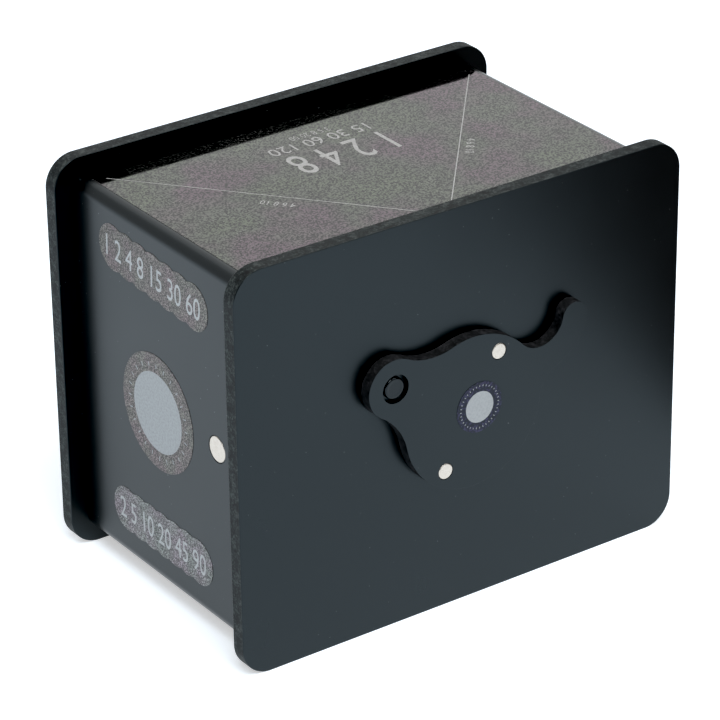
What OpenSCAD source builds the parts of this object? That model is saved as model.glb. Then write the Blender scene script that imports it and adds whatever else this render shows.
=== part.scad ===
// Box pinhole camera for one sheet of film, built from black foamed plastic sheet.
// Two halves slide into each other and magnets hold them. A swinging blade covers the pinhole.
// Millimetres, +Z up, the front faces -Y. The origin is the middle of the footprint, at ground level.

/* [Film] */
// Width of the film sheet
film_w = 127; // [110:1:180]
// Height of the film sheet
film_h = 101.6; // [95:0.2:140]
// Thickness of the film sheet
film_t = 0.2; // [0.1:0.05:0.4]
// Room between the film and the box at each side
film_side_room = 3.5; // [0.5:0.1:6]
// Room between the film and the box above and below
film_end_room = 2.2; // [0.5:0.1:6]

/* [Box] */
// Thickness of the sheet that the plates and the outer box are cut from
sheet_t = 5; // [3:0.5:8]
// Depth of the outer box between the two plates
box_d = 88; // [70:1:140]
// How far the plates stand out past the box at each side
plate_side_lip = 6; // [4:0.5:20]
// How far the plates stand out past the box above and below
plate_end_lip = 5.5; // [4:0.5:20]
// Radius of the plates' corners
plate_corner_r = 9.4; // [2:0.1:16]
// Radius of the rounding along the box's long edges
box_edge_r = 3.8; // [0.5:0.1:4.5]

/* [Sleeve] */
// Thickness of the sheet that the inner sleeve is cut from
sleeve_t = 4; // [2:0.5:5]
// Gap between the sleeve and the walls of the outer box
sleeve_gap = 0.4; // [0.3:0.1:1]
// Gap between the sleeve's rear rim and the film
rim_gap = 0.3; // [0.3:0.1:1]

/* [Closing magnets] */
// Diameter of the magnets in the side walls
wall_magnet_d = 8; // [5:0.5:12]
// Distance of the wall magnets behind the front edge of the box
wall_magnet_setback = 14.8; // [10:0.1:40]
// Height of the wall magnets above the middle of the wall
wall_magnet_rise = 0.5; // [-10:0.5:10]
// Gap round a magnet in its hole
magnet_play = 0.05; // [0.02:0.01:0.1]

/* [Pinhole] */
// Diameter of the pinhole
pinhole_d = 0.35; // [0.1:0.05:1]
// Diameter of the metal disc that holds the pinhole
foil_d = 20; // [17:0.5:26]
// Thickness of the metal disc
foil_t = 0.15; // [0.05:0.05:0.3]
// Diameter of the hole in the front plate before the pinhole
aperture_d = 12; // [8:0.5:14]
// Width of the ring outside the metal disc
ring_rim = 3; // [1:0.5:6]
// Thickness of the ring that holds the metal disc
ring_t = 1.5; // [1:0.1:3]

/* [Shutter blade] */
// Thickness of the blade
blade_t = 4; // [3:0.5:6]
// Distance from the pivot to the pinhole
pivot_reach = 31.6; // [29:0.2:36]
// Direction from the pinhole to the pivot, seen from the front
pivot_angle = 150; // [130:1:170]
// Radius of the blade's disc over the pinhole
cover_r = 24; // [22.5:0.5:26]
// Radius of the blade's lobe round the pivot
lobe_r = 9.2; // [7:0.1:11]
// Radius of the hollows between the lobe and the disc
neck_r = 20; // [12:0.5:30]
// Radius of the valley between the disc and the finger tail
valley_r = 8.5; // [6:0.5:12]
// Direction from the pinhole to the valley, measured from the blade's axis
valley_angle = 73; // [65:1:80]
// Width of the finger tail
tail_w = 8.8; // [6:0.2:12]
// Direction from the valley to the tail's end, measured from the blade's axis
tail_angle = 20; // [0:1:40]
// Radius of the hollow where the tail's outer side meets the disc
tail_root_r = 10; // [6:0.5:20]

/* [Shutter magnets] */
// Diameter of the magnets in the blade and the front plate
shutter_magnet_d = 5; // [3:0.5:6]
// Distance of the shutter magnets from the pivot
shutter_magnet_reach = 36.4; // [34:0.2:38]
// Angle of each shutter magnet to the blade's axis
shutter_magnet_angle = 31.5; // [28:0.5:33]
// Depth of the magnets in the front plate
plate_magnet_t = 2; // [1:0.5:2.5]

/* [Pivot] */
// Diameter of the pivot post
post_d = 4; // [2.5:0.5:5]
// Gap round the post in its holes
post_play = 0.05; // [0.02:0.01:0.1]
// Diameter of the post's head
head_d = 6.8; // [6:0.1:7.5]
// Thickness of the post's head
head_t = 1.5; // [1:0.1:1.8]
// Diameter of the pocket in the blade for the head
head_pocket_d = 8.9; // [8.2:0.1:10]
// Depth of the pocket in the blade for the head
head_pocket_t = 2; // [1.9:0.1:2.4]
// Thickness of the slip washer between the blade and the front plate
washer_t = 0.3; // [0.2:0.05:0.6]
// Diameter of the slip washer
washer_d = 12; // [8:0.5:14]
// Play of the blade between the washer and the head
blade_play = 0.05; // [0.02:0.01:0.1]
// Diameter of the nut behind the front plate
retainer_d = 9; // [7:0.5:12]
// Thickness of the nut behind the front plate
retainer_t = 1; // [0.6:0.1:2]
// Length of the post behind the nut
post_tail = 0.6; // [0.2:0.1:2]

/* [Labels] */
// Thickness of the clear film labels
label_t = 0.15; // [0.1:0.05:0.3]
// Bare edge between the label on the top panel and the rounding at each side
top_label_edge = 0.1; // [0:0.1:4]
// Bare edge before and behind the label on the top panel
top_label_end = 4.5; // [0:0.1:10]
// Diameter of the round label on the shutter
shutter_label_d = 16; // [10:0.5:18]
// Offset of the shutter label from the pinhole, away from the pivot
shutter_label_ahead = 1.2; // [-2:0.1:3]
// Offset of the shutter label from the pinhole, towards the tail
shutter_label_up = 1.9; // [-2:0.1:3]
// Diameter of the round label on the side wall
round_label_d = 37; // [25:0.5:45]
// Height of the round label below the middle of the wall
round_label_drop = 1; // [0:0.1:5]
// Radius of the lobes of the strip labels on the side wall
strip_lobe_r = 7.3; // [6.5:0.1:8]
// Number of lobes on each strip label
strip_lobes = 7; // [6:1:9]
// Length of the upper strip label
upper_strip_l = 56.6; // [45:0.2:60]
// Length of the lower strip label
lower_strip_l = 53; // [45:0.2:60]
// Height of the upper strip label above the middle of the wall
upper_strip_rise = 42.4; // [36:0.2:44]
// Height of the lower strip label below the middle of the wall
lower_strip_drop = 41.4; // [36:0.2:44]
// Turn of the upper strip label, down towards the front
upper_strip_turn = 3; // [0:0.5:5]
// Distance of the side labels behind the middle of the wall
side_label_setback = 1.6; // [0:0.1:6]

/* [Hidden] */
$fn = 96;
// Overlap of a cutter past the face that it cuts
cut = 1;
// Turn between two neighbouring points on the blade's outline
arc_step = 5;

box_inner_w = film_w + 2 * film_side_room;
box_inner_h = film_h + 2 * film_end_room;
box_w = box_inner_w + 2 * sheet_t;
box_h = box_inner_h + 2 * sheet_t;
plate_w = box_w + 2 * plate_side_lip;
plate_h = box_h + 2 * plate_end_lip;
mid_z = plate_h / 2;

sleeve_w = box_inner_w - 2 * sleeve_gap;
sleeve_h = box_inner_h - 2 * sleeve_gap;
sleeve_d = box_d - film_t - rim_gap;

// Places along Y, from the blade's label at the front to the back of the rear plate
blade_stand = washer_t + blade_play;
front_stack = blade_stand + blade_t + label_t;
overall_d = front_stack + box_d + 2 * sheet_t;
plate_front_y = front_stack - overall_d / 2;
box_front_y = plate_front_y + sheet_t;
box_rear_y = box_front_y + box_d;
blade_rear_y = plate_front_y - blade_stand;
blade_front_y = blade_rear_y - blade_t;
pocket_floor_y = blade_front_y + head_pocket_t;
head_rear_y = pocket_floor_y - blade_play;

wall_magnet_y = box_front_y + wall_magnet_setback;
wall_magnet_z = mid_z + wall_magnet_rise;
side_label_y = (box_front_y + box_rear_y) / 2 + side_label_setback;
top_label_inset = box_edge_r + top_label_edge;
ring_d = foil_d + 2 * ring_rim;

// Blade outline in its own plane: the pivot at the origin, the pinhole on the first axis
lobe_c = [0, 0];
cover_c = [pivot_reach, 0];
valley_c = cover_c + polar(cover_r + valley_r, valley_angle);
tail_end_c = valley_c + polar(valley_r + tail_w / 2, tail_angle);
tail_outer_r = valley_r + tail_w;
neck_upper_c = hollow_centre(lobe_c, lobe_r, cover_c, cover_r, neck_r);
neck_lower_c = [neck_upper_c.x, -neck_upper_c.y];
tail_root_c = hollow_centre(valley_c, tail_outer_r, cover_c, cover_r, tail_root_r);
magnet_places = [for (side = [1, -1]) polar(shutter_magnet_reach, side * shutter_magnet_angle)];
label_place = cover_c + [shutter_label_ahead, shutter_label_up];

function polar(r, a) = r * [cos(a), sin(a)];
function direction(from, to) = atan2(to.y - from.y, to.x - from.x);
// The next angle after a start, turning left or right
function left_of(start, a) = a < start ? left_of(start, a + 360) : a;
function right_of(start, a) = a > start ? right_of(start, a - 360) : a;

// Centre of a circle of radius r that touches two round edges from outside, left of c1 to c2
function hollow_centre(c1, r1, c2, r2, r) =
    let (
        span = norm(c2 - c1),
        along = ((r1 + r) * (r1 + r) - (r2 + r) * (r2 + r) + span * span) / (2 * span),
        aside = sqrt((r1 + r) * (r1 + r) - along * along),
        unit = (c2 - c1) / span
    )
    c1 + along * unit + aside * [-unit.y, unit.x];

// Points of an arc without its last point, which begins the next arc
function arc(c, r, from, to) =
    let (steps = ceil(abs(to - from) / arc_step))
    [for (i = [0 : steps - 1]) c + polar(r, from + (to - from) * i / steps)];
// An arc that bulges outwards, and one that curves inwards, between the centres beside it
function bulge(c, r, before, after) =
    let (from = direction(c, before))
    arc(c, r, from, left_of(from, direction(c, after)));
function hollow(c, r, before, after) =
    let (from = direction(c, before))
    arc(c, r, from, right_of(from, direction(c, after)));

blade_outline = concat(
    bulge(lobe_c, lobe_r, neck_upper_c, neck_lower_c),
    hollow(neck_lower_c, neck_r, lobe_c, cover_c),
    bulge(cover_c, cover_r, neck_lower_c, tail_root_c),
    hollow(tail_root_c, tail_root_r, cover_c, valley_c),
    bulge(valley_c, tail_outer_r, tail_root_c, tail_end_c),
    arc(tail_end_c, tail_w / 2, tail_angle, tail_angle + 180),
    hollow(valley_c, valley_r, tail_end_c, cover_c),
    bulge(cover_c, cover_r, valley_c, neck_upper_c),
    hollow(neck_upper_c, neck_r, cover_c, lobe_c)
);

// Shape drawn as seen from the front, given a thickness behind the plane y
module facing_front(y, t) {
    translate([0, y + t, 0]) rotate([90, 0, 0]) linear_extrude(t) children();
}

// Places drawings in the middle of the plates, where the pinhole is
module at_pinhole() {
    translate([0, mid_z]) children();
}

// Places drawings in the blade's own plane
module at_pivot() {
    at_pinhole() translate(polar(pivot_reach, pivot_angle)) rotate(pivot_angle - 180) children();
}

// Panel given by its lower left front corner and its size
module panel(corner, size) {
    color("#1c1f22") translate(corner) cube(size);
}

// Round piece through a side wall, from its outer face at x
module through_wall(x, d, t) {
    translate([x, wall_magnet_y, wall_magnet_z]) rotate([0, 90, 0]) cylinder(d = d, h = t);
}

module rounded_rectangle(w, h, r) {
    square([w - 2 * r, h], center = true);
    square([w, h - 2 * r], center = true);
    for (x = [-1, 1], z = [-1, 1])
        translate([x * (w / 2 - r), z * (h / 2 - r)]) circle(r);
}

module rounded_plate(y) {
    facing_front(y, sheet_t) at_pinhole() rounded_rectangle(plate_w, plate_h, plate_corner_r);
}

module rear_plate() {
    color("#1c1f22") rounded_plate(box_rear_y);
}

module front_plate() {
    color("#1c1f22") difference() {
        rounded_plate(plate_front_y);
        facing_front(plate_front_y - cut, sheet_t + 2 * cut) {
            at_pinhole() circle(d = aperture_d);
            at_pivot() circle(d = post_d + 2 * post_play);
        }
        facing_front(plate_front_y - cut, plate_magnet_t + cut)
            at_pivot()
                for (place = magnet_places)
                    translate(place) circle(d = shutter_magnet_d + 2 * magnet_play);
    }
}

// Panel of the outer box, trimmed to the rounding along the box's long edges
module box_panel(corner, size) {
    intersection() {
        panel(corner, size);
        facing_front(box_front_y, box_d) at_pinhole() rounded_rectangle(box_w, box_h, box_edge_r);
    }
}

// Top panel of the outer box, over the whole width
module outer_top_panel() {
    box_panel([-box_w / 2, box_front_y, mid_z + box_inner_h / 2], [box_w, box_d, sheet_t]);
}

// Bottom panel of the outer box, between the side panels
module outer_bottom_panel() {
    box_panel([-box_inner_w / 2, box_front_y, mid_z - box_h / 2], [box_inner_w, box_d, sheet_t]);
}

// Side panel of the outer box, from the foot of the box up to the top panel
module outer_side_panel(x) {
    difference() {
        box_panel([x, box_front_y, mid_z - box_h / 2], [sheet_t, box_d, box_h - sheet_t]);
        through_wall(x - cut, wall_magnet_d + 2 * magnet_play, sheet_t + 2 * cut);
    }
}

// Top or bottom panel of the sleeve, over its whole width
module sleeve_level_panel(z) {
    panel([-sleeve_w / 2, box_front_y, z], [sleeve_w, sleeve_d, sleeve_t]);
}

// Side panel of the sleeve, between its top and bottom panels
module sleeve_side_panel(x) {
    height = sleeve_h - 2 * sleeve_t;
    difference() {
        panel([x, box_front_y, mid_z - height / 2], [sleeve_t, sleeve_d, height]);
        through_wall(x - cut, wall_magnet_d + 2 * magnet_play, sleeve_t + 2 * cut);
    }
}

module wall_magnet(x, t) {
    color("#e6e2d8") through_wall(x, wall_magnet_d, t);
}

module film_sheet() {
    color("#4a4436")
        translate([-film_w / 2, box_rear_y - film_t, mid_z - film_h / 2])
            cube([film_w, film_t, film_h]);
}

module top_label() {
    color("#7d7d7b")
        translate([top_label_inset - box_w / 2, box_front_y + top_label_end, mid_z + box_h / 2])
            cube([box_w - 2 * top_label_inset, box_d - 2 * top_label_end, label_t]);
}

// Label stuck to the left wall, drawn as seen from the left, at a height above its middle
module on_left_wall(rise) {
    color("#6f6a66")
        translate([-box_w / 2, side_label_y, mid_z + rise])
            rotate([90, 0, -90])
                linear_extrude(label_t) children();
}

// Row of overlapping discs, from one end of the label to the other
module lobed_strip(length) {
    run = length - 2 * strip_lobe_r;
    for (i = [0 : strip_lobes - 1])
        translate([run * (i / (strip_lobes - 1) - 1 / 2), 0]) circle(strip_lobe_r);
}

module upper_side_label() {
    on_left_wall(upper_strip_rise) rotate(-upper_strip_turn) lobed_strip(upper_strip_l);
}

module round_side_label() {
    on_left_wall(-round_label_drop) circle(d = round_label_d);
}

module lower_side_label() {
    on_left_wall(-lower_strip_drop) lobed_strip(lower_strip_l);
}

module pinhole_foil() {
    color("#b9a26a") facing_front(box_front_y, foil_t) at_pinhole() difference() {
        circle(d = foil_d);
        circle(d = pinhole_d);
    }
}

// Ring that grips the edge of the metal disc against the front plate
module pinhole_ring() {
    color("#1c1f22") difference() {
        facing_front(box_front_y, ring_t) at_pinhole() circle(d = ring_d);
        facing_front(box_front_y - cut, foil_t + cut) at_pinhole() circle(d = foil_d + 2 * magnet_play);
        facing_front(box_front_y, ring_t + cut) at_pinhole() circle(d = aperture_d);
    }
}

module plate_magnet(place) {
    color("#e6e2d8")
        facing_front(plate_front_y, plate_magnet_t)
            at_pivot() translate(place) circle(d = shutter_magnet_d);
}

module shutter_magnet(place) {
    color("#e6e2d8")
        facing_front(blade_front_y, blade_t)
            at_pivot() translate(place) circle(d = shutter_magnet_d);
}

module pivot_post() {
    post_end_y = box_front_y + retainer_t + post_tail;
    color("#2a2d30") {
        facing_front(head_rear_y - head_t, head_t) at_pivot() circle(d = head_d);
        facing_front(head_rear_y, post_end_y - head_rear_y) at_pivot() circle(d = post_d);
    }
}

// Flat ring on the pivot post
module post_ring(y, d, t) {
    facing_front(y, t) at_pivot() difference() {
        circle(d = d);
        circle(d = post_d + 2 * post_play);
    }
}

module pivot_retainer() {
    color("#9aa0a4") post_ring(box_front_y, retainer_d, retainer_t);
}

module slip_washer() {
    color("#d9d9d4") post_ring(plate_front_y - washer_t, washer_d, washer_t);
}

module shutter_blade() {
    color("#1c1f22") difference() {
        facing_front(blade_front_y, blade_t) at_pivot() polygon(blade_outline);
        facing_front(blade_front_y - cut, blade_t + 2 * cut) at_pivot() {
            circle(d = post_d + 2 * post_play);
            for (place = magnet_places)
                translate(place) circle(d = shutter_magnet_d + 2 * magnet_play);
        }
        facing_front(blade_front_y - cut, head_pocket_t + cut) at_pivot() circle(d = head_pocket_d);
    }
}

module shutter_label() {
    color("#6d6a7c")
        facing_front(blade_front_y - label_t, label_t)
            at_pivot() translate(label_place) circle(d = shutter_label_d);
}

rear_plate();
outer_top_panel();
outer_bottom_panel();
outer_side_panel(-box_w / 2);  // outer_left_panel
outer_side_panel(box_inner_w / 2);  // outer_right_panel
wall_magnet(-box_w / 2, sheet_t);  // left_wall_magnet
wall_magnet(box_inner_w / 2, sheet_t);  // right_wall_magnet
film_sheet();
top_label();
upper_side_label();
round_side_label();
lower_side_label();
front_plate();
sleeve_level_panel(mid_z + sleeve_h / 2 - sleeve_t);  // sleeve_top_panel
sleeve_level_panel(mid_z - sleeve_h / 2);  // sleeve_bottom_panel
sleeve_side_panel(-sleeve_w / 2);  // sleeve_left_panel
sleeve_side_panel(sleeve_w / 2 - sleeve_t);  // sleeve_right_panel
wall_magnet(-sleeve_w / 2, sleeve_t);  // left_sleeve_magnet
wall_magnet(sleeve_w / 2 - sleeve_t, sleeve_t);  // right_sleeve_magnet
pinhole_foil();
pinhole_ring();
plate_magnet(magnet_places[0]);  // upper_plate_magnet
plate_magnet(magnet_places[1]);  // lower_plate_magnet
pivot_post();
pivot_retainer();
slip_washer();
shutter_blade();
shutter_magnet(magnet_places[0]);  // upper_shutter_magnet
shutter_magnet(magnet_places[1]);  // lower_shutter_magnet
shutter_label();
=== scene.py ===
import math

import bmesh
import bpy
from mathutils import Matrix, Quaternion, Vector
from mathutils.geometry import tessellate_polygon


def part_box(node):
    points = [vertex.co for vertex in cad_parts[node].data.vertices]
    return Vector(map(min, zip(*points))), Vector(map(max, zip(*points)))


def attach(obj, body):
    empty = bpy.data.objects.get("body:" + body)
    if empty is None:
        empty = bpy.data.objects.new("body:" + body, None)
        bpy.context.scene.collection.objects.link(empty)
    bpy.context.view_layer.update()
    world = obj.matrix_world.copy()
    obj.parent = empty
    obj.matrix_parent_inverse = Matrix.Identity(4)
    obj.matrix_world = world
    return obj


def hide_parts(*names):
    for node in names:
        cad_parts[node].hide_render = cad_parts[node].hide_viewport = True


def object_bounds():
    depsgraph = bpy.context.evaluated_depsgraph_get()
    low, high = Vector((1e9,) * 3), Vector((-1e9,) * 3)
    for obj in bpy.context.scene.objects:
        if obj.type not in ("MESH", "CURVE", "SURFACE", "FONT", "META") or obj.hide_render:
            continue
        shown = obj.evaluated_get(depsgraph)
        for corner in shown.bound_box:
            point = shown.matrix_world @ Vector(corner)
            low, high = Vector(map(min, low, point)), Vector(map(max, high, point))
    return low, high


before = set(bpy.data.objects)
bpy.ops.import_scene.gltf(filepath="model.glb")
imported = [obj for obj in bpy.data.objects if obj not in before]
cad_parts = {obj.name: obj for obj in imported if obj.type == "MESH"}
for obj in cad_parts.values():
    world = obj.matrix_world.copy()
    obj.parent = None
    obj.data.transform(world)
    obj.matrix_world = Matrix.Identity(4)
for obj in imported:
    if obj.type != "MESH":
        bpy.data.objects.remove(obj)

# Sizes are written in millimetres times mm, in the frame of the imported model.
mm = 0.001
cad_low, cad_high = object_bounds()

# Camera
# It stands a little over a metre away, left of the front, and looks down on the top, the front
# plate and the left wall. The lens is long, so the edges of the box run almost parallel.
camera_place = Vector((-566.3, -803.4, 562.8)) * mm
camera_aim = Vector((-2.4, 1.9, 59.1)) * mm
camera_roll = math.radians(-0.73)
lens_length = 186.2
sensor_width = 36
nearest_seen = 10 * mm
camera_data = bpy.data.cameras.new("camera")
camera_data.lens = lens_length
camera_data.sensor_width = sensor_width
camera_data.clip_start = nearest_seen
camera = bpy.data.objects.new("camera", camera_data)
camera.location = camera_place
camera.rotation_mode = "QUATERNION"
camera.rotation_quaternion = (
    (camera_aim - camera_place).to_track_quat("-Z", "Y") @ Quaternion((0, 0, 1), camera_roll)
)
bpy.context.scene.collection.objects.link(camera)
bpy.context.scene.camera = camera

# Rear plate
# A rounded rectangle cut from black foamed plastic sheet. Its faces keep the smooth satin skin of
# the sheet, and the cut leaves its edges rough, so the fine foam shows. The box is glued to its
# front face.
plate_corner = 9.4 * mm
# Radius and steps of the fine rounding of cut edges, the longest chord along a curve, and the
# length from which a side counts as straight
arris = 0.2 * mm
arris_steps = 3
chord = 0.8 * mm
straight_from = 1.1 * chord
# Places of the axes in a point
along_x, along_y, along_z = 0, 1, 2


def arc_points(centre, radius, start, end, step=4):
    """Points along an arc given in degrees, with both ends."""
    span = abs(end - start)
    count = max(1, math.ceil(span / step), math.ceil(math.radians(span) * radius / chord))
    turns = [math.radians(start + (end - start) * i / count) for i in range(count + 1)]
    return [Vector(centre) + radius * Vector((math.cos(a), math.sin(a))) for a in turns]


def rounded_rectangle(low, high, *radii):
    """Outline of a rectangle that turns left, from the upper right corner.

    A corner without a radius is sharp.
    """
    outline = []
    for i, radius in enumerate(radii):
        x = low.x + radius if i in (1, 2) else high.x - radius
        y = low.y + radius if i in (2, 3) else high.y - radius
        outline += arc_points((x, y), radius, 90 * i, 90 * i + 90) if radius else [Vector((x, y))]
    return outline


def moved_in(loop, distance):
    """The loop moved to its left, which is into the sheet, by a distance."""
    moved = []
    for i, point in enumerate(loop):
        before = (point - loop[i - 1]).normalized()
        after = (loop[(i + 1) % len(loop)] - point).normalized()
        sides = Vector((-before.y, before.x)), Vector((-after.y, after.x))
        moved.append(point + (sides[0] + sides[1]) * distance / (1 + sides[0].dot(sides[1])))
    return moved


def rounding(edge):
    """Steps inwards and down over a small round, from the face to the wall."""
    turns = [math.pi / 2 * i / arris_steps for i in range(arris_steps + 1)]
    return [(edge * (1 - math.sin(a)), edge * (1 - math.cos(a))) for a in turns]


def through(thickness, edge=arris):
    """Wall of an outline or hole through a sheet, with both arrises rounded."""
    front = rounding(edge) + [(0, 2 * edge)]
    return front + [(step, thickness - depth) for step, depth in reversed(front)]


def facing(axis, level, inwards, centre=(0, 0)):
    """Places a drawing on a plane square to an axis. Depth counts inwards from that plane."""
    def place(u, v, depth):
        point = [centre[0] + u, centre[1] + v]
        point.insert(axis, level + inwards * depth)
        return Vector(point)
    return place


def as_piece(name, bm, *materials):
    """Turns a closed bmesh into an object at the origin, faces outwards."""
    bmesh.ops.recalc_face_normals(bm, faces=bm.faces)
    mesh = bpy.data.meshes.new(name)
    bm.to_mesh(mesh)
    bm.free()
    for material in materials:
        mesh.materials.append(material)
    piece = bpy.data.objects.new(name, mesh)
    bpy.context.scene.collection.objects.link(piece)
    return piece


def add_sheet(bm, outline, thickness, place, holes=(), edge=arris, hole_finish=1):
    """Adds a flat sheet with its faces in the first material and its outer wall in the second.

    Each hole is a loop that turns right and its wall's steps down from the face. hole_finish is
    the place of the holes' material among the piece's materials, counted from 0.
    """
    faces = {"front": [], "back": []}
    for loop, wall in [(outline, through(thickness, edge)), *holes]:
        wall_finish = 1 if loop is outline else hole_finish
        rings = [
            [bm.verts.new(place(p.x, p.y, depth)) for p in moved_in(loop, step)]
            for step, depth in wall
        ]
        bands = zip(rings, rings[1:], wall, wall[1:])
        for upper, lower, (step, depth), (next_step, next_depth) in bands:
            for i in range(len(loop)):
                face = bm.faces.new((upper[i - 1], upper[i], lower[i], lower[i - 1]))
                curved = (loop[i] - loop[i - 1]).length < straight_from
                face.smooth = depth != next_depth and (curved or step != next_step)
                face.material_index = wall_finish if step == next_step else 0
        faces["front"].append(rings[0])
        if abs(wall[-1][1] - thickness) < edge / 2:
            faces["back"].append(rings[-1])
        else:
            bm.faces.new(rings[-1])
    for rings in faces.values():
        verts = [vert for ring in rings for vert in ring]
        for triangle in tessellate_polygon([[vert.co for vert in ring] for ring in rings]):
            bm.faces.new([verts[i] for i in triangle])


def sheet_piece(name, outline, thickness, place, materials, holes=(), edge=arris, hole_finish=1):
    """A flat sheet as a piece of its own, with the materials of its faces and of its walls."""
    bm = bmesh.new()
    add_sheet(bm, outline, thickness, place, holes, edge, hole_finish)
    return as_piece(name, bm, *materials)


def new_material(name, roughness, **values):
    """A material with its even values set on the shader's own sockets."""
    material = bpy.data.materials.new(name)
    material.use_nodes = True
    shader = material.node_tree.nodes["Principled BSDF"]
    shader.inputs["Roughness"].default_value = roughness
    for key, value in values.items():
        shader.inputs[key.replace("_", " ")].default_value = value
    return material, material.node_tree, shader


def add_node(tree, kind, inputs, **settings):
    """A node with its settings, and with a value or a feeding socket for each named input."""
    made = tree.nodes.new(kind)
    for key, value in settings.items():
        setattr(made, key, value)
    for key, value in inputs.items():
        if isinstance(value, bpy.types.NodeSocket):
            tree.links.new(value, made.inputs[key])
        else:
            made.inputs[key].default_value = value
    return made


def noise(tree, grain, detail=2.0):
    """Even noise on object coordinates, with grains of the given size."""
    place = add_node(tree, "ShaderNodeTexCoord", {}).outputs["Object"]
    inputs = {"Vector": place, "Scale": 1 / grain, "Detail": detail}
    return add_node(tree, "ShaderNodeTexNoise", inputs).outputs["Fac"]


def cells(tree, size):
    """Cells on object coordinates: the distance from a cell's middle, and the cell's own colour."""
    place = add_node(tree, "ShaderNodeTexCoord", {}).outputs["Object"]
    made = add_node(tree, "ShaderNodeTexVoronoi", {"Vector": place, "Scale": 1 / size})
    return made.outputs["Distance"], made.outputs["Color"]


def ramp(tree, value, *stops):
    """Colours along a value from 0 to 1."""
    made = add_node(tree, "ShaderNodeValToRGB", {"Fac": value})
    elements = made.color_ramp.elements
    while len(elements) < len(stops):
        elements.new(0.5)
    for element, (position, colour) in zip(elements, stops):
        element.position = position
        element.color = (*colour, 1)
    return made.outputs["Color"]


def spread(tree, value, low, high):
    """A value about 0.5, such as noise, spread between two limits."""
    inputs = {"Value": value, "From Min": 0.25, "From Max": 0.75, "To Min": low, "To Max": high}
    return add_node(tree, "ShaderNodeMapRange", inputs).outputs["Result"]


def maths(tree, operation, first, second):
    """Two values joined by a sum or a comparison."""
    made = add_node(tree, "ShaderNodeMath", {0: first, 1: second}, operation=operation)
    return made.outputs["Value"]


def bump(tree, shader, height, strength, distance):
    """Fine relief on a surface."""
    inputs = {"Height": height, "Strength": strength, "Distance": distance}
    made = add_node(tree, "ShaderNodeBump", inputs)
    tree.links.new(made.outputs["Normal"], shader.inputs["Normal"])


def rub(tree, shader, grain, low, high, detail=2.0):
    """Gloss that changes from place to place, as handling leaves it."""
    marks = spread(tree, noise(tree, grain, detail), low, high)
    tree.links.new(marks, shader.inputs["Roughness"])


def foam_skin_material():
    """Satin skin of the sheet: a cool gloss on black, a faint pebble, handling marks and dust."""
    black = (0.0005, 0.0005, 0.0005)
    dust = (0.1, 0.105, 0.105)
    cool_gloss = (0.74, 0.92, 1.0, 1)
    largest_speck = 0.08
    material, tree, shader = new_material(
        "foam_skin", roughness=0.29, IOR=1.427, Specular_Tint=cool_gloss
    )
    distance, colour = cells(tree, size=3.2 * mm)
    speck_size = maths(tree, "MULTIPLY", colour, largest_speck)
    speck = maths(tree, "LESS_THAN", distance, speck_size)
    tree.links.new(ramp(tree, speck, (0, black), (1, dust)), shader.inputs["Base Color"])
    rub(tree, shader, grain=26 * mm, low=0.27, high=0.31, detail=4.0)
    bump(tree, shader, noise(tree, grain=0.5 * mm), strength=0.05, distance=0.02 * mm)
    return material


def foam_cut_material(name, dark, middle, light):
    """Cut edge of the sheet: open foam cells in streaks, duller than the skin."""
    streak_share = 0.5
    cell_share = 0.5
    material, tree, shader = new_material(name, roughness=0.6, IOR=1.45, Specular_IOR_Level=0.25)
    distance, colour = cells(tree, size=0.5 * mm)
    streaks = spread(tree, noise(tree, grain=2.5 * mm, detail=6.0), low=0.0, high=1.0)
    streak_part = maths(tree, "MULTIPLY", streaks, streak_share)
    cell_part = maths(tree, "MULTIPLY", colour, cell_share)
    tone = maths(tree, "ADD", streak_part, cell_part)
    shades = ramp(tree, tone, (0.2, dark), (0.5, middle), (0.8, light))
    tree.links.new(shades, shader.inputs["Base Color"])
    bump(tree, shader, distance, strength=0.3, distance=0.1 * mm)
    return material


foam_skin = foam_skin_material()
foam_cut = foam_cut_material(
    "foam_cut",
    dark=(0.0005, 0.001, 0.0015),
    middle=(0.0062, 0.0109, 0.0118),
    light=(0.0465, 0.056, 0.055),
)
foam = foam_skin, foam_cut
low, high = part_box("rear_plate")
rear_plate = sheet_piece(
    "rear_plate_sheet",
    rounded_rectangle(low.xz, high.xz, *[plate_corner] * 4),
    high.y - low.y,
    facing(along_y, low.y, 1),
    foam,
)
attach(rear_plate, "rear_half")
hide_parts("rear_plate")

# Outer box
# Four panels of the same sheet, glued edge to edge and to the rear plate. The top panel lies over
# the side panels and the bottom panel between them, and the box's long edges are sanded round.
box_edge = 3.8 * mm
magnet_hole_play = 0.05 * mm
hole_flare = 0.25 * mm
cutter_overshoot = 1 * mm


def hole_loop(centre, radius):
    """A round hole's loop, which turns right, so that the sheet is on its left."""
    return arc_points(centre, radius, 360, 0)[:-1]


def add_turned(bm, profile, place, ring=False, steps=72):
    """Adds a piece turned from steps of radius and depth, with end caps or closed as a ring."""
    turns = [2 * math.pi * i / steps for i in range(steps)]
    rings = [
        [bm.verts.new(place(radius * math.cos(a), radius * math.sin(a), depth)) for a in turns]
        for radius, depth in profile
    ]
    for upper, lower in zip(rings, rings[1:] + rings[:1] if ring else rings[1:]):
        for i in range(steps):
            face = bm.faces.new((upper[i - 1], upper[i], lower[i], lower[i - 1]))
            face.smooth = True
    if not ring:
        bm.faces.new(rings[0])
        bm.faces.new(rings[-1])


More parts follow.
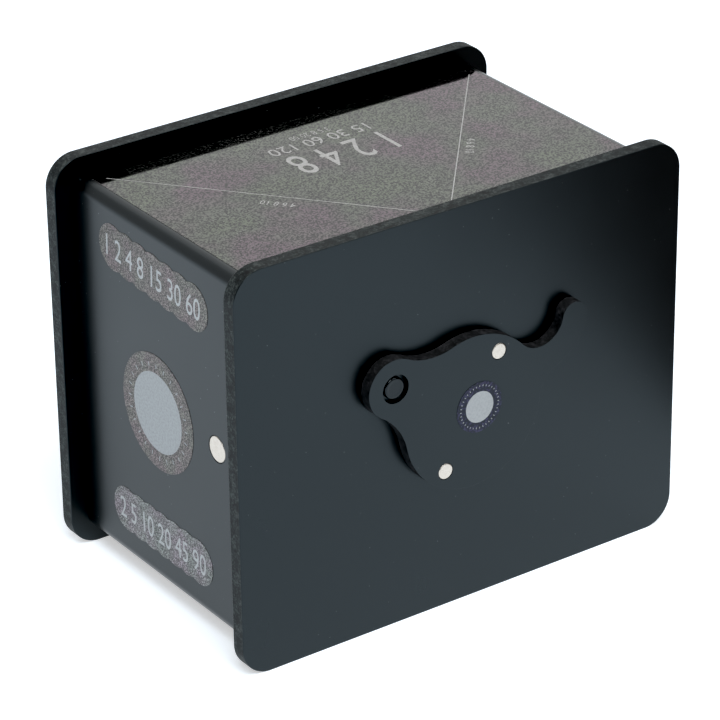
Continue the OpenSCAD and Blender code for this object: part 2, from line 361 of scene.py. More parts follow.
def drill(piece, magnet):
    """Cuts the hole in which a magnet goes through a side wall."""
    low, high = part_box(magnet)
    middle = (low.yz + high.yz) / 2
    radius = (high.y - low.y) / 2 + magnet_hole_play
    flared = radius + cutter_overshoot
    depth = high.x - low.x
    profile = [
        (flared, -cutter_overshoot),
        (radius, hole_flare),
        (radius, depth - hole_flare),
        (flared, depth + cutter_overshoot),
    ]
    bm = bmesh.new()
    add_turned(bm, profile, facing(along_x, low.x, 1, middle))
    cutter = as_piece("cutter", bm)
    modifier = piece.modifiers.new("hole", "BOOLEAN")
    modifier.object = cutter
    depsgraph = bpy.context.evaluated_depsgraph_get()
    drilled = bpy.data.meshes.new_from_object(piece.evaluated_get(depsgraph))
    piece.modifiers.remove(modifier)
    bpy.data.objects.remove(cutter)
    piece.data = drilled


def box_panel(node, body, radii=(0, 0, 0, 0), magnet=None):
    """A panel that runs from front to back, drawn by its end, with skin along it and cut ends."""
    low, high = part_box(node)
    piece = sheet_piece(
        node + "_sheet",
        rounded_rectangle(low.xz, high.xz, *radii),
        high.y - low.y,
        facing(along_y, low.y, 1),
        (foam_cut, foam_skin),
    )
    if magnet:
        drill(piece, magnet)
    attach(piece, body)
    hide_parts(node)


box_panel("outer_top_panel", "rear_half", (box_edge, box_edge, 0, 0))
box_panel("outer_bottom_panel", "rear_half")
box_panel("outer_left_panel", "rear_half", (0, 0, box_edge, 0), "left_wall_magnet")
box_panel("outer_right_panel", "rear_half", (0, 0, 0, box_edge), "right_wall_magnet")

# Wall magnets
# Nickel plated disc magnets, pressed into the side walls flush with the skin. They pull on the
# magnets in the sleeve, which keeps the two halves together.
magnet_edge = 0.3 * mm


def mottle(tree, shader, grain, first, second, detail=3.0):
    """Colour that drifts softly between two shades."""
    shades = ramp(tree, noise(tree, grain, detail), (0.3, first), (0.7, second))
    tree.links.new(shades, shader.inputs["Base Color"])


def nickel_material():
    """Bright nickel plating over a sintered disc: faintly clouded, with fine rubbing marks."""
    clouded = (0.545, 0.495, 0.435)
    bright = (0.605, 0.555, 0.495)
    material, tree, shader = new_material("nickel", roughness=0.3, Metallic=1.0)
    mottle(tree, shader, 1.6 * mm, clouded, bright)
    rub(tree, shader, grain=0.4 * mm, low=0.24, high=0.38)
    return material


nickel = nickel_material()


def disc_magnet(node, axis, outer, body):
    """A disc magnet with rounded edges, in the place of its solid."""
    low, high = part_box(node)
    flat = [i for i in range(3) if i != axis]
    middle = [(low[i] + high[i]) / 2 for i in flat]
    radius = (high[flat[0]] - low[flat[0]]) / 2
    depth = high[axis] - low[axis]
    bm = bmesh.new()
    profile = [(radius - step, down) for step, down in through(depth, magnet_edge)]
    add_turned(bm, profile, facing(axis, high[axis] if outer > 0 else low[axis], -outer, middle))
    piece = as_piece(node + "_disc", bm, nickel)
    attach(piece, body)
    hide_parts(node)


disc_magnet("left_wall_magnet", along_x, -1, "rear_half")
disc_magnet("right_wall_magnet", along_x, 1, "rear_half")

# Film
# One sheet of film, which lies loose against the rear plate until the sleeve's rim holds it. Two
# notches in one side tell by touch which way round it is. Its coated side faces the pinhole.
film_corner = 1.5 * mm
film_rim = 0.04 * mm
notch_half = 1.0 * mm
notch_depth = 1.2 * mm
notch_places = (-17 * mm, -12 * mm)


def film_material():
    """Matt coated side of the film: an even warm grey with a very fine grain."""
    dark_grain = (0.2, 0.175, 0.14)
    light_grain = (0.26, 0.225, 0.18)
    material, tree, shader = new_material("film_coating", roughness=0.6)
    mottle(tree, shader, 0.3 * mm, dark_grain, light_grain, detail=4.0)
    return material


low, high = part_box("film_sheet")
notches = [
    Vector((high.x - inwards, high.z + place + along))
    for place in notch_places
    for along, inwards in ((-notch_half, 0), (0, notch_depth), (notch_half, 0))
]
film_coating = film_material()
film = sheet_piece(
    "film_sheet_cut",
    rounded_rectangle(low.xz, high.xz, *[film_corner] * 4) + notches,
    high.y - low.y,
    facing(along_y, low.y, 1),
    (film_coating, film_coating),
    edge=film_rim,
)
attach(film, "rear_half")
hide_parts("film_sheet")

# Top label
# A clear glossy film over the flat of the top panel, smoothed on by hand, with tiny bubbles left
# under it. Its pale print has two sight lines that show the camera's angle of view, and rows of
# plain numbers.
ink_t = 0.03 * mm
label_corner = 0.8 * mm
label_edge = 0.03 * mm
print_edge = 0.1 * ink_t
# Print is drawn this thick, and pressed to the ink's thickness when it is laid on a label
drawn_t = 1.0
number_curve_steps = 4
merge_distance = 0.001 * mm
sight_line_w = 0.32 * mm
sight_lines = (((-2.8, -36.9), (-64.7, 39)), ((2.2, -36.9), (64.8, 37.9)))
# Each row's numbers, the place of their middle, their turn, width and height
number_rows = (
    ("1 2 4 8", (0.1, 13.1), 180, 33.8, 13.4),
    ("15 30 60 120", (0, 24.8), 180, 34.8, 5),
    ("3 5 8 20 50", (0.1, 30), 180, 13.8, 2.8),
    ("4 6 8 10", (-35.1, -5.2), 129, 10.4, 2.6),
    ("4 6 8 10", (33, -5.2), 231, 10.4, 2.6),
)


def blotches(tree, size, pink, grey, green):
    """Soft patches of faint colour."""
    drift = noise(tree, size, detail=3.0)
    return ramp(tree, drift, (0.38, pink), (0.5, grey), (0.62, green))


def multiplied(tree, first, second):
    """Two colours multiplied."""
    # Places of the node's sockets for colours, which share their names with those for values
    first_place, second_place, result_place = 6, 7, 2
    inputs = {"Factor": 1.0, first_place: first, second_place: second}
    made = add_node(tree, "ShaderNodeMix", inputs, data_type="RGBA", blend_type="MULTIPLY")
    return made.outputs[result_place]


def clear_film_material():
    """Clear film on black: only its gloss shows, speckled and clouded by fine bubbles under it."""
    black = (0.0005, 0.0005, 0.0005)
    bubble = (0.085, 0.085, 0.082)
    dulled = (0.0, 0.0, 0.0)
    glossy = (1.0, 1.0, 1.0)
    pink = (1.0, 0.68, 0.86)
    grey = (0.82, 0.92, 0.74)
    green = (0.82, 1.0, 0.68)
    material, tree, shader = new_material("clear_film", roughness=0.07, IOR=1.83)
    dots = ramp(tree, noise(tree, grain=0.5 * mm), (0.57, black), (0.67, bubble))
    frost = spread(tree, noise(tree, grain=24 * mm, detail=3.0), low=0.0, high=1.0)
    tree.links.new(multiplied(tree, dots, frost), shader.inputs["Base Color"])
    speckle = noise(tree, grain=0.6 * mm, detail=3.0)
    gloss = ramp(tree, speckle, (0.47, dulled), (0.53, glossy))
    tint = blotches(tree, 26 * mm, pink, grey, green)
    tree.links.new(multiplied(tree, tint, gloss), shader.inputs["Specular Tint"])
    rub(tree, shader, grain=5 * mm, low=0.05, high=0.09, detail=4.0)
    bump(tree, shader, speckle, strength=0.05, distance=0.02 * mm)
    return material


def film_edge_material():
    """Cut edge of a clear film, which gathers light and looks frosted."""
    dull = (0.3, 0.3, 0.3)
    frosted = (0.45, 0.45, 0.44)
    material, tree, shader = new_material("film_edge", roughness=0.5)
    mottle(tree, shader, 0.6 * mm, dull, frosted, detail=2.0)
    return material


def ink_material(name, thin, full):
    """Screen printed ink, a little thin in places."""
    material, tree, shader = new_material(name, roughness=0.45)
    cover = ramp(tree, noise(tree, grain=0.7 * mm, detail=4.0), (0.3, thin), (0.6, full))
    tree.links.new(cover, shader.inputs["Base Color"])
    bump(tree, shader, noise(tree, grain=0.25 * mm), strength=0.1, distance=0.02 * mm)
    return material


def numbers(words, width, height):
    """A row of plain numbers as a flat mesh about its middle, drawn to a width and height."""
    text = bpy.data.curves.new("numbers", "FONT")
    text.body = words
    text.extrude = drawn_t / 2
    text.resolution_u = number_curve_steps
    holder = bpy.data.objects.new("numbers", text)
    bpy.context.scene.collection.objects.link(holder)
    depsgraph = bpy.context.evaluated_depsgraph_get()
    mesh = bpy.data.meshes.new_from_object(holder.evaluated_get(depsgraph))
    bpy.data.objects.remove(holder)
    points = [vert.co for vert in mesh.vertices]
    low = Vector([min(p[i] for p in points) for i in range(2)])
    high = Vector([max(p[i] for p in points) for i in range(2)])
    for vert in mesh.vertices:
        vert.co.x = (vert.co.x - (low.x + high.x) / 2) * width / (high.x - low.x)
        vert.co.y = (vert.co.y - (low.y + high.y) / 2) * height / (high.y - low.y)
    return mesh


def add_printed(bm, mesh, place, centre, turn=0):
    """Lays a drawn mesh on a surface as print, turned in degrees about its middle."""
    start = len(bm.verts)
    bm.from_mesh(mesh)
    bpy.data.meshes.remove(mesh)
    bm.verts.ensure_lookup_table()
    cosine, sine = math.cos(math.radians(turn)), math.sin(math.radians(turn))
    for vert in bm.verts[start:]:
        u = centre[0] + vert.co.x * cosine - vert.co.y * sine
        v = centre[1] + vert.co.x * sine + vert.co.y * cosine
        vert.co = place(u, v, (drawn_t / 2 - vert.co.z) * ink_t / drawn_t)


def print_piece(name, bm, ink, body):
    """The print on a label as a piece of its own."""
    bmesh.ops.remove_doubles(bm, verts=bm.verts, dist=merge_distance)
    piece = as_piece(name, bm, ink)
    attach(piece, body)


clear_film = clear_film_material()
film_edge = film_edge_material()
pale_ink = ink_material("pale_ink", thin=(0.26, 0.26, 0.255), full=(0.36, 0.36, 0.355))
low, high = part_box("top_label")
top_label = sheet_piece(
    "top_label_film",
    rounded_rectangle(low.xy, high.xy, *[label_corner] * 4),
    high.z - low.z - ink_t,
    facing(along_z, high.z - ink_t, -1),
    (clear_film, film_edge),
    edge=label_edge,
)
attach(top_label, "rear_half")
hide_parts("top_label")

bm = bmesh.new()
label_top = facing(along_z, high.z, -1)
for words, middle, turn, width, height in number_rows:
    row = numbers(words, width * mm, height * mm)
    add_printed(bm, row, label_top, Vector(middle) * mm, turn)
for ends in sight_lines:
    start, end = (Vector(point) * mm for point in ends)
    along = (end - start).normalized()
    across = Vector((-along.y, along.x)) * sight_line_w / 2
    line = [start + across, start - across, end - across, end + across]
    add_sheet(bm, line, ink_t, label_top, edge=print_edge)
print_piece("top_label_print", bm, pale_ink, "rear_half")

# Side labels
# Three film labels on the left wall: a lobed strip, a round one and another lobed strip. The film
# has a fine speckle in faint patches of pink and green, and the print is a row of plain numbers or
# a plain dial.
lobe_r = 7.3 * mm
lobes = 7
# Each strip's node, length, turn, numbers and their width
strips = (
    ("upper_side_label", 56.6, -3, "1 2 4 8 15 30 60", 49),
    ("lower_side_label", 53, 0, "2 5 10 20 45 90", 46),
)
strip_number_h = 6.8 * mm
side_speckle = 0.42 * mm
dial_r = 12.6 * mm
# Count of the dial's ticks, the radius of their ring, their length and width
dial_ticks = 24, 14.9 * mm, 1.4 * mm, 0.35 * mm


def lobed_strip(length):
    """Outline round a row of overlapping lobes."""
    pitch = (length - 2 * lobe_r) / (lobes - 1)
    meet = math.degrees(math.acos(pitch / 2 / lobe_r))
    centres = [((i - (lobes - 1) / 2) * pitch, 0) for i in range(lobes)]
    outline = arc_points(centres[-1], lobe_r, meet - 180, 180 - meet)
    for centre in reversed(centres[1:-1]):
        outline += arc_points(centre, lobe_r, meet, 180 - meet)[1:]
    outline += arc_points(centres[0], lobe_r, meet, 360 - meet)[1:]
    for centre in centres[1:-1]:
        outline += arc_points(centre, lobe_r, 180 + meet, 360 - meet)[1:]
    return outline[:-1]


def round_outline(centre, radius):
    """A round piece's outline, which turns left."""
    return arc_points(centre, radius, 0, 360)[:-1]


def speckled_film_material(name, dark, middle, light, speckle, gloss=(1.0, 1.0, 1.0)):
    """Film with a fine speckle of paler and darker dots in soft patches of faint colour."""
    pink = (1.0, 0.86, 0.9)
    grey = (0.94, 0.92, 0.87)
    green = (0.88, 0.96, 0.84)
    material, tree, shader = new_material(
        name, roughness=0.42, IOR=1.45, Specular_Tint=(*gloss, 1)
    )
    dots = noise(tree, speckle, detail=3.0)
    shades = ramp(tree, dots, (0.38, dark), (0.5, middle), (0.62, light))
    tint = blotches(tree, 9 * mm, pink, grey, green)
    tree.links.new(multiplied(tree, tint, shades), shader.inputs["Base Color"])
    bump(tree, shader, dots, strength=0.2, distance=0.04 * mm)
    return material


def tick_ring_tree():
    """Geometry Nodes for a dial's ticks: thin bars set round a circle, pointing at its middle."""
    tree = bpy.data.node_groups.new("tick_ring", "GeometryNodeTree")
    tree.interface.new_socket("Ticks", in_out="OUTPUT", socket_type="NodeSocketGeometry")
    inputs = (
        ("Count", "NodeSocketInt"),
        ("Ring radius", "NodeSocketFloat"),
        ("Tick length", "NodeSocketFloat"),
        ("Tick width", "NodeSocketFloat"),
        ("Ink", "NodeSocketMaterial"),
    )
    for label, kind in inputs:
        tree.interface.new_socket(label, in_out="INPUT", socket_type=kind)
    given = tree.nodes.new("NodeGroupInput").outputs
    circle = add_node(
        tree, "GeometryNodeMeshCircle", {"Vertices": given["Count"], "Radius": given["Ring radius"]}
    )
    index = tree.nodes.new("GeometryNodeInputIndex").outputs["Index"]
    part = maths(tree, "DIVIDE", index, given["Count"])
    angle = maths(tree, "MULTIPLY", part, 2 * math.pi)
    turn = add_node(tree, "ShaderNodeCombineXYZ", {"Z": angle})
    size = add_node(
        tree,
        "ShaderNodeCombineXYZ",
        {"X": given["Tick length"], "Y": given["Tick width"], "Z": drawn_t},
    )
    bar = add_node(tree, "GeometryNodeMeshCube", {"Size": size.outputs["Vector"]})
    ticks = add_node(
        tree,
        "GeometryNodeInstanceOnPoints",
        {
            "Points": circle.outputs["Mesh"],
            "Instance": bar.outputs["Mesh"],
            "Rotation": turn.outputs["Vector"],
        },
    )
    whole = add_node(
        tree, "GeometryNodeRealizeInstances", {"Geometry": ticks.outputs["Instances"]}
    )
    inked = add_node(
        tree,
        "GeometryNodeSetMaterial",
        {"Geometry": whole.outputs["Geometry"], "Material": given["Ink"]},
    )
    result = tree.nodes.new("NodeGroupOutput")
    tree.links.new(inked.outputs["Geometry"], result.inputs["Ticks"])
    return tree


tick_ring = tick_ring_tree()


def ticks(count, ring_r, length, width, ink):
    """Plain mesh of a dial's ticks, drawn flat."""
    holder = bpy.data.objects.new("ticks", bpy.data.meshes.new("ticks"))
    bpy.context.scene.collection.objects.link(holder)
    modifier = holder.modifiers.new("ticks", "NODES")
    modifier.node_group = tick_ring
    values = {
        "Count": count,
        "Ring radius": ring_r,
        "Tick length": length,
        "Tick width": width,
        "Ink": ink,
    }
    for item in tick_ring.interface.items_tree:
        if item.in_out == "INPUT":
            modifier[item.identifier] = values[item.name]
    depsgraph = bpy.context.evaluated_depsgraph_get()
    mesh = bpy.data.meshes.new_from_object(holder.evaluated_get(depsgraph))
    holder.modifiers.remove(modifier)
    bpy.data.objects.remove(holder)
    return mesh


def print_dial(name, place, disc_r, tick_sizes, ink, body):
    """Prints a plain disc in a ring of ticks."""
    bm = bmesh.new()
    add_sheet(bm, round_outline((0, 0), disc_r), ink_t, place, edge=print_edge)
    add_printed(bm, ticks(*tick_sizes, ink), place, (0, 0))
    print_piece(name, bm, ink, body)


grey_film = speckled_film_material(
    "grey_film",
    dark=(0.021, 0.018, 0.018),
    middle=(0.08, 0.072, 0.071),
    light=(0.262, 0.239, 0.237),
    speckle=side_speckle,
)
# The lower strip is the same film as the upper one. Its copy is paler and bluer, which paints the
# brighter light that the lower strip shows.
painted_light_film = speckled_film_material(
    "painted_light_film",
    dark=(0.029, 0.028, 0.03),
    middle=(0.109, 0.109, 0.118),
    light=(0.35, 0.354, 0.385),
    speckle=side_speckle,
)
strip_films = grey_film, painted_light_film
wall_ink = ink_material("wall_ink", thin=(0.255, 0.272, 0.283), full=(0.335, 0.36, 0.373))
strip_ink = ink_material("strip_ink", thin=(0.33, 0.35, 0.36), full=(0.43, 0.45, 0.46))


def seen_from_left(x, middle, turn=0):
    """Places a drawing on the left wall, seen from the left and turned in degrees."""
    wall = facing(along_x, x, 1, middle)
    cosine, sine = math.cos(math.radians(turn)), math.sin(math.radians(turn))
    return lambda u, v, depth: wall(v * sine - u * cosine, u * sine + v * cosine, depth)


def wall_label(node, outline, film, turn=0):
    """A film label on the left wall. Returns the place of the print on it."""
    low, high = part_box(node)
    middle = (low.yz + high.yz) / 2
    label = sheet_piece(
        node + "_film",
        outline,
        high.x - low.x - ink_t,
        seen_from_left(low.x + ink_t, middle, turn),
        (film, film),
        edge=label_edge,
    )
    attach(label, "rear_half")
    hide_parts(node)
    return seen_from_left(low.x, middle, turn)


for (node, length, turn, words, width), film in zip(strips, strip_films):
    on_wall = wall_label(node, lobed_strip(length * mm), film, turn)
    bm = bmesh.new()
    add_printed(bm, numbers(words, width * mm, strip_number_h), on_wall, (0, 0))
    print_piece(node + "_print", bm, strip_ink, "rear_half")

low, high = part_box("round_side_label")
round_label = round_outline((0, 0), (high.z - low.z) / 2)
on_wall = wall_label("round_side_label", round_label, grey_film)
print_dial("round_side_label_print", on_wall, dial_r, dial_ticks, wall_ink, "rear_half")

# Front plate
# The same rounded rectangle as the rear plate, with the light hole in the middle, a hole for the
# pivot and two shallow pockets for magnets. The sleeve is glued to its rear face.
post_r = 2 * mm
post_play = 0.05 * mm
light_hole_r = 6 * mm


def middle_of(node):
    """Middle of a solid as seen from the front."""
    low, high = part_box(node)
    return (low.xz + high.xz) / 2


def width_of(node):
    """Width of a solid as seen from the front."""
    low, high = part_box(node)
    return high.x - low.x


def pocket(depth, edge=arris):
    """Wall of a blind hole from the face down to its floor."""
    return rounding(edge) + [(0, 2 * edge), (0, depth)]


low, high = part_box("front_plate")
plate_t = high.y - low.y
pinhole = middle_of("front_plate")
pivot = middle_of("pivot_post")
plate_holes = [
    (hole_loop(pinhole, light_hole_r), through(plate_t)),
    (hole_loop(pivot, post_r + post_play), through(plate_t)),
]
for node in ("upper_plate_magnet", "lower_plate_magnet"):
    magnet_low, magnet_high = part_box(node)
    magnet_t = magnet_high.y - magnet_low.y
    radius = width_of(node) / 2 + magnet_hole_play
    plate_holes.append((hole_loop(middle_of(node), radius), pocket(magnet_t)))
front_plate = sheet_piece(
    "front_plate_sheet",
    rounded_rectangle(low.xz, high.xz, *[plate_corner] * 4),
    plate_t,
    facing(along_y, low.y, 1),
    foam,
    plate_holes,
)
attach(front_plate, "front_half")
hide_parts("front_plate")

# Sleeve
# Four thinner panels of the same sheet, glued into a tube on the front plate. It slides into the
# outer box, keeps light out of the joint and presses the film against the rear plate. Its magnets
# are pressed into its side panels, behind those of the walls.
box_panel("sleeve_top_panel", "front_half")
box_panel("sleeve_bottom_panel", "front_half")
box_panel("sleeve_left_panel", "front_half", magnet="left_sleeve_magnet")
box_panel("sleeve_right_panel", "front_half", magnet="right_sleeve_magnet")
disc_magnet("left_sleeve_magnet", along_x, -1, "front_half")
disc_magnet("right_sleeve_magnet", along_x, 1, "front_half")

# Pinhole
# A thin brass disc with the pinhole drilled in its middle, behind the light hole of the front
# plate. A ring of foamed sheet, glued over its edge, holds it there.
pinhole_r = 0.175 * mm
foil_edge = 0.02 * mm
ring_seat_play = 0.05 * mm


def brass_material():
    """Thin rolled brass: a warm metal with fine rolling lines and a little tarnish."""
    tarnished = (0.42, 0.3, 0.13)
    clean = (0.68, 0.52, 0.26)
    lines_per_metre = (150, 3000, 3000)
    material, tree, shader = new_material("rolled_brass", roughness=0.3, Metallic=1.0)
    mottle(tree, shader, 2.5 * mm, tarnished, clean, detail=4.0)
    place = add_node(tree, "ShaderNodeTexCoord", {}).outputs["Object"]
    stretched = add_node(tree, "ShaderNodeMapping", {"Vector": place, "Scale": lines_per_metre})
    inputs = {"Vector": stretched.outputs["Vector"], "Scale": 1.0}
    lines = add_node(tree, "ShaderNodeTexNoise", inputs).outputs["Fac"]
    tree.links.new(spread(tree, lines, low=0.22, high=0.42), shader.inputs["Roughness"])
    return material


low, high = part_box("pinhole_foil")
foil_t = high.y - low.y
foil_r = width_of("pinhole_foil") / 2
bm = bmesh.new()
outer = [(foil_r - step, depth) for step, depth in through(foil_t, foil_edge)]
inner = [(pinhole_r + step, depth) for step, depth in through(foil_t, foil_edge)]
add_turned(bm, outer + inner[::-1], facing(along_y, low.y, 1, pinhole), ring=True)
foil = as_piece("pinhole_foil_disc", bm, brass_material())
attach(foil, "front_half")
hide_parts("pinhole_foil")

low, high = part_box("pinhole_ring")
ring_t = high.y - low.y
ring_r = width_of("pinhole_ring") / 2
bm = bmesh.new()
outer = [(ring_r - step, depth) for step, depth in through(ring_t)]
seat_r = foil_r + ring_seat_play
seat = [(light_hole_r, foil_t), (seat_r, foil_t), (seat_r, 0)]
bore = [(light_hole_r + step, ring_t - depth) for step, depth in rounding(arris)]
add_turned(bm, outer + bore + seat, facing(along_y, low.y, 1, pinhole), ring=True)
ring = as_piece("pinhole_ring_sheet", bm, foam_skin)
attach(ring, "front_half")
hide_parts("pinhole_ring")

# Plate magnets
# Two disc magnets glued into pockets of the front plate, flush with its face. Both hold the blade
# over the pinhole, and when it is swung away one of them holds it by the other of its magnets.
disc_magnet("upper_plate_magnet", along_y, -1, "front_half")
disc_magnet("lower_plate_magnet", along_y, -1, "front_half")

# Pivot
# A moulded black plastic post through the blade and the front plate. Its head sits in the blade's
# pocket, a spring steel nut grips it behind the plate, and a slip washer keeps the blade off the
# plate.
head_t = 1.5 * mm
head_edge = 0.6 * mm
# Depth of the dish in the head, its floor and rim as shares of the head's radius, and the rim's
# depth as a share of the dish's
head_dish = 0.12 * mm
dish_floor = 0.55
dish_rim = 0.72
dish_rim_depth = 0.3
nut_slots = 6
nut_slot_w = 0.7 * mm
nut_slot_r = 3.4 * mm
nut_edge = 0.2 * mm
nut_hole_edge = 0.08 * mm
washer_edge = 0.05 * mm


def post_material():
    """Satin moulded plastic, nearly black, with a faint mould texture."""
    deep_black = (0.0005, 0.0005, 0.0006)
    black = (0.001, 0.001, 0.001)
    cool_gloss = (0.72, 0.84, 0.9, 1)
    material, tree, shader = new_material(
        "moulded_black", roughness=0.15, IOR=1.415, Specular_Tint=cool_gloss
    )
    mottle(tree, shader, 3 * mm, deep_black, black)
    bump(tree, shader, noise(tree, grain=0.25 * mm), strength=0.06, distance=0.02 * mm)
    return material


def steel_material():
    """Blued spring steel with a brushed face."""
    blued = (0.42, 0.43, 0.45)
    bright = (0.58, 0.59, 0.6)
    material, tree, shader = new_material("spring_steel", roughness=0.35, Metallic=1.0)
    mottle(tree, shader, 1.2 * mm, blued, bright)
    rub(tree, shader, grain=0.3 * mm, low=0.28, high=0.46)
    return material


def washer_material():
    """Natural slippery plastic, milky white and slightly mottled."""
    milky = (0.62, 0.62, 0.59)
    white = (0.76, 0.76, 0.73)
    material, tree, shader = new_material("milky_plastic", roughness=0.4)
    mottle(tree, shader, 1.5 * mm, milky, white)
    return material


low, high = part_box("pivot_post")
head_r = width_of("pivot_post") / 2
post_l = high.y - low.y
profile = [(dish_floor * head_r, head_dish), (dish_rim * head_r, dish_rim_depth * head_dish)]
profile += [(head_r - step, depth) for step, depth in rounding(head_edge)]
profile += [(head_r, head_t - arris)]
profile += [(head_r - step, head_t - depth) for step, depth in reversed(rounding(arris))]
profile += [(post_r, head_t), (post_r, post_l - head_edge), (post_r - head_edge, post_l)]
bm = bmesh.new()
add_turned(bm, profile, facing(along_y, low.y, 1, pivot))
post = as_piece("pivot_post_moulding", bm, post_material())
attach(post, "front_half")
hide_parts("pivot_post")

low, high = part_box("pivot_retainer")
nut_t = high.y - low.y
slot_pitch = 360 / nut_slots
slot_turn = math.degrees(math.asin(nut_slot_w / 2 / (post_r + post_play)))
slot_turn_out = math.degrees(math.asin(nut_slot_w / 2 / nut_slot_r))
nut_hole = []
for i in range(nut_slots):
    mid = -360 * i / nut_slots
    nut_hole += arc_points(pivot, nut_slot_r, mid + slot_turn_out, mid - slot_turn_out)
    nut_hole += arc_points(pivot, post_r + post_play, mid - slot_turn, mid - slot_pitch + slot_turn)
nut = sheet_piece(
    "pivot_retainer_nut",
    round_outline(pivot, width_of("pivot_retainer") / 2),
    nut_t,
    facing(along_y, low.y, 1),
    (steel_material(),) * 2,
    [(nut_hole, through(nut_t, nut_hole_edge))],
    edge=nut_edge,
)
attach(nut, "front_half")
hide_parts("pivot_retainer")

low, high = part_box("slip_washer")
washer_t = high.y - low.y
washer = sheet_piece(
    "slip_washer_ring",
    round_outline(pivot, width_of("slip_washer") / 2),
    washer_t,
    facing(along_y, low.y, 1),
    (washer_material(),) * 2,
    [(hole_loop(pivot, post_r + post_play), through(washer_t, washer_edge))],
    edge=washer_edge,
)
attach(washer, "front_half")
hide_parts("slip_washer")

# Shutter blade
# Cut from the same foamed sheet: a lobe round the pivot, a disc that covers the pinhole and a
# hooked tail for the finger. It swings on the post and carries two magnets, right through, flush
# with its face.
cover_r = 24 * mm
blade_lobe_r = 9.2 * mm
neck_r = 20 * mm
valley_r = 8.5 * mm
valley_angle = 73
tail_w = 8.8 * mm
tail_angle = 20
tail_root_r = 10 * mm
head_pocket_r = 4.45 * mm
head_pocket_t = 2 * mm
blade_edge = 0.04 * mm


def polar(radius, degrees):
    """A point at a radius and an angle from the middle."""
    return radius * Vector((math.cos(math.radians(degrees)), math.sin(math.radians(degrees))))


def hollow_centre(first, first_r, second, second_r, radius):
    """Centre of a circle that touches two round edges from outside, left of first to second."""
    span = (second - first).length
    along = ((first_r + radius) ** 2 - (second_r + radius) ** 2 + span**2) / (2 * span)
    aside = math.sqrt((first_r + radius) ** 2 - along**2)
    unit = (second - first) / span
    return first + along * unit + aside * Vector((-unit.y, unit.x))


def edge_arc(centre, radius, before, after, bulges):
    """Arc from the side of one neighbouring centre to another's, bulging out or hollowed in."""
    start, end = (math.degrees(math.atan2(*(p - centre).yx)) for p in (before, after))
    turn = (end - start) % 360 if bulges else -((start - end) % 360)
    return arc_points(centre, radius, start, start + turn)[:-1]


def blade_outline(reach):
    """The blade's edge in its own axes: the pivot at the origin, the pinhole on the first axis."""
    lobe = Vector((0, 0))
    cover = Vector((reach, 0))
    valley = cover + polar(cover_r + valley_r, valley_angle)
    tail_end = valley + polar(valley_r + tail_w / 2, tail_angle)
    tail_outer_r = valley_r + tail_w
    neck_upper = hollow_centre(lobe, blade_lobe_r, cover, cover_r, neck_r)
    neck_lower = Vector((neck_upper.x, -neck_upper.y))
    root = hollow_centre(valley, tail_outer_r, cover, cover_r, tail_root_r)
    return [
        *edge_arc(lobe, blade_lobe_r, neck_upper, neck_lower, True),
        *edge_arc(neck_lower, neck_r, lobe, cover, False),
        *edge_arc(cover, cover_r, neck_lower, root, True),
        *edge_arc(root, tail_root_r, cover, valley, False),
        *edge_arc(valley, tail_outer_r, root, tail_end, True),
        *arc_points(tail_end, tail_w / 2, tail_angle, tail_angle + 180)[:-1],
        *edge_arc(valley, valley_r, tail_end, cover, False),
        *edge_arc(cover, cover_r, valley, neck_upper, True),
        *edge_arc(neck_upper, neck_r, cover, lobe, False),
    ]


low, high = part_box("shutter_blade")
blade_t = high.y - low.y
reach = (pinhole - pivot).length
ahead = (pinhole - pivot) / reach
aside = Vector((-ahead.y, ahead.x))
outline = [pivot + p.x * ahead + p.y * aside for p in blade_outline(reach)]
step_in = head_pocket_r - post_r - post_play
stepped = pocket(head_pocket_t, blade_edge) + [(-step_in, head_pocket_t)] + [
    (step - step_in, depth) for step, depth in through(blade_t, blade_edge) if depth > head_pocket_t
]
blade_holes = [(hole_loop(pivot, head_pocket_r), stepped)]
for node in ("upper_shutter_magnet", "lower_shutter_magnet"):
    radius = width_of(node) / 2 + magnet_hole_play
    blade_holes.append((hole_loop(middle_of(node), radius), through(blade_t, blade_edge)))
# The blade's cut edge gets darker shades than the plates' cut edges.
blade_cut = foam_cut_material(
    "blade_cut",
    dark=(0.001, 0.001, 0.001),
    middle=(0.0068, 0.0073, 0.008),
    light=(0.0255, 0.026, 0.0285),
)
# The walls of its holes take the skin's near black instead of the cut foam's colours; in the
# pivot's pocket this paints the shade that falls in there.
blade = sheet_piece(
    "shutter_blade_sheet",
    outline,
    blade_t,
    facing(along_y, low.y, 1),
    (foam_skin, blade_cut),
    blade_holes,
    edge=blade_edge,
    hole_finish=0,
)
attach(blade, "shutter")
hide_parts("shutter_blade")
disc_magnet("upper_shutter_magnet", along_y, -1, "shutter")
disc_magnet("lower_shutter_magnet", along_y, -1, "shutter")

# Shutter label
# A small round film label stuck on the blade over the pinhole, with a violet speckle. Its print is
# a plain pale disc with a ring of fine ticks.
mark_r = 4.9 * mm
# Count of the ticks, the radius of their ring, their length and width
mark_ticks = 36, 6.7 * mm, 0.5 * mm, 0.2 * mm
violet_film = speckled_film_material(
    "violet_film",
    dark=(0.0005, 0.0005, 0.002),
    middle=(0.001, 0.001, 0.008),
    light=(0.026, 0.022, 0.06),
    speckle=0.75 * mm,
    gloss=(0.66, 0.74, 0.9),
)
mark_ink = ink_material("mark_ink", thin=(0.246, 0.259, 0.267), full=(0.285, 0.302, 0.309))
low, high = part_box("shutter_label")
label_middle = middle_of("shutter_label")
shutter_label = sheet_piece(
    "shutter_label_film",
    round_outline((0, 0), (high.x - low.x) / 2),
    high.y - low.y - ink_t,
    facing(along_y, low.y + ink_t, 1, label_middle),
    (violet_film, violet_film),
    edge=label_edge,
)
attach(shutter_label, "shutter")
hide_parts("shutter_label")
on_blade = facing(along_y, low.y, 1, label_middle)
print_dial("shutter_label_print", on_blade, mark_r, mark_ticks, mark_ink, "shutter")

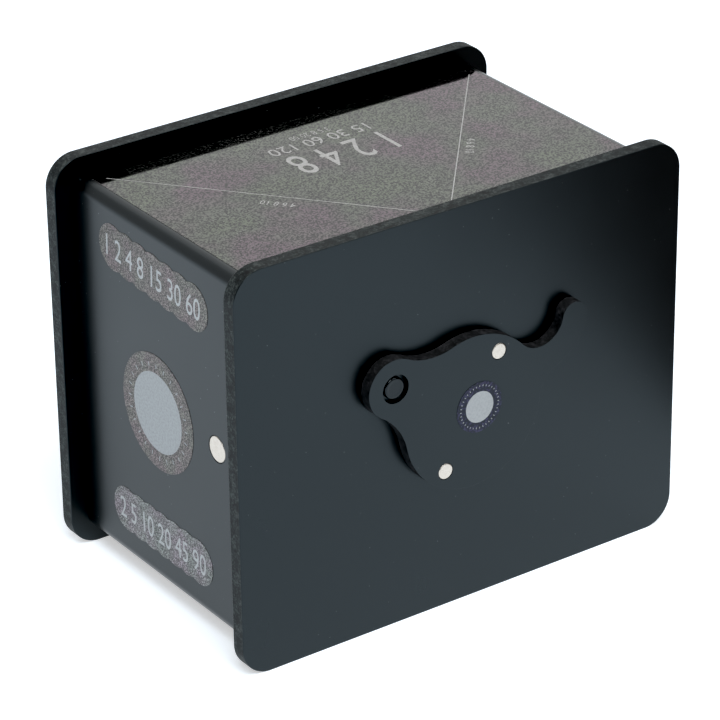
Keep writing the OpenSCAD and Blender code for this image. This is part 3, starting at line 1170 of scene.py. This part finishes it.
# Floor and light
# A plain white table top with a glow of its own, under two large soft boxes on the camera's side,
# the left one stronger. Two tall panels behind, the right one brighter, show in the gloss of the
# top. A dark card on the table, seen only in mirror images, shades the front plate's gloss.
floor_half = 4.0
floor_white = 0.74, 0.845, 0.945
floor_shade = 0.97
floor_grain = 60 * mm
floor_glow = 0.53
card_grey = 0.1, 0.075, 0.065
card_lift = 0.3 * mm
world_white = 0.97, 0.99, 1.0
world_strength = 0.04
box_distance = 2.4
box_size = 1.4
# Direction and power of each soft box
soft_boxes = (((-0.25, -0.48, 0.84), 53.0), ((0.45, -0.45, 0.77), 25.0))
# Middle, width, height and power of each panel
panels = (((1.5, 3.0, 1.95), 4.2, 3.8, 71.0), ((-2.0, 3.0, 1.95), 2.8, 3.8, 26.0))
black_level = 0.006
card_corners = ((0.11, -0.045), (0.174, -0.238), (0.44, -1.1), (1.6, -1.1), (1.6, -0.045))


def flat_stage(name, corners, level, material):
    """A flat sheet of the stage, which is no part of the object."""
    mesh = bpy.data.meshes.new(name)
    mesh.from_pydata([(x, y, level) for x, y in corners], [], [range(len(corners))])
    mesh.materials.append(material)
    stage = bpy.data.objects.new(name, mesh)
    bpy.context.scene.collection.objects.link(stage)
    return stage


def soft_light(name, place, aim, width, height, power):
    """A soft rectangular light that the camera doesn't see directly."""
    data = bpy.data.lights.new(name, "AREA")
    data.shape = "RECTANGLE"
    data.size = width
    data.size_y = height
    data.energy = power
    light = bpy.data.objects.new(name, data)
    light.location = place
    light.rotation_mode = "QUATERNION"
    light.rotation_quaternion = (aim - place).to_track_quat("-Z", "Y")
    light.visible_camera = False
    bpy.context.scene.collection.objects.link(light)


table, tree, shader = new_material("white_table", roughness=0.8, Emission_Strength=floor_glow)
floor_dim = Vector(floor_white) * floor_shade
mottle(tree, shader, floor_grain, floor_white, floor_dim, detail=2.0)
square = [(x * floor_half, y * floor_half) for x, y in ((-1, -1), (1, -1), (1, 1), (-1, 1))]
flat_stage("floor", square, 0.0, table)
dull_card = new_material(
    "dark_card", roughness=1.0, Base_Color=(*card_grey, 1), Specular_IOR_Level=0.0
)[0]
card = flat_stage("dark_card", card_corners, card_lift, dull_card)
card.visible_camera = False
card.visible_diffuse = False
card.visible_shadow = False

world = bpy.data.worlds.new("studio")
world.use_nodes = True
background = world.node_tree.nodes["Background"].inputs
background["Color"].default_value = (*world_white, 1)
background["Strength"].default_value = world_strength
bpy.context.scene.world = world
object_middle = (cad_low + cad_high) / 2
for direction, power in soft_boxes:
    place = object_middle + Vector(direction) * box_distance
    soft_light("soft_box", place, object_middle, box_size, box_size, power)
for middle, width, height, power in panels:
    place = Vector(middle)
    soft_light("back_panel", place, place + Vector((0, -1, 0)), width, height, power)
view = bpy.context.scene.view_settings
view.view_transform = "Standard"
view.use_curve_mapping = True
view.curve_mapping.black_level = (black_level,) * 3
view.curve_mapping.update()
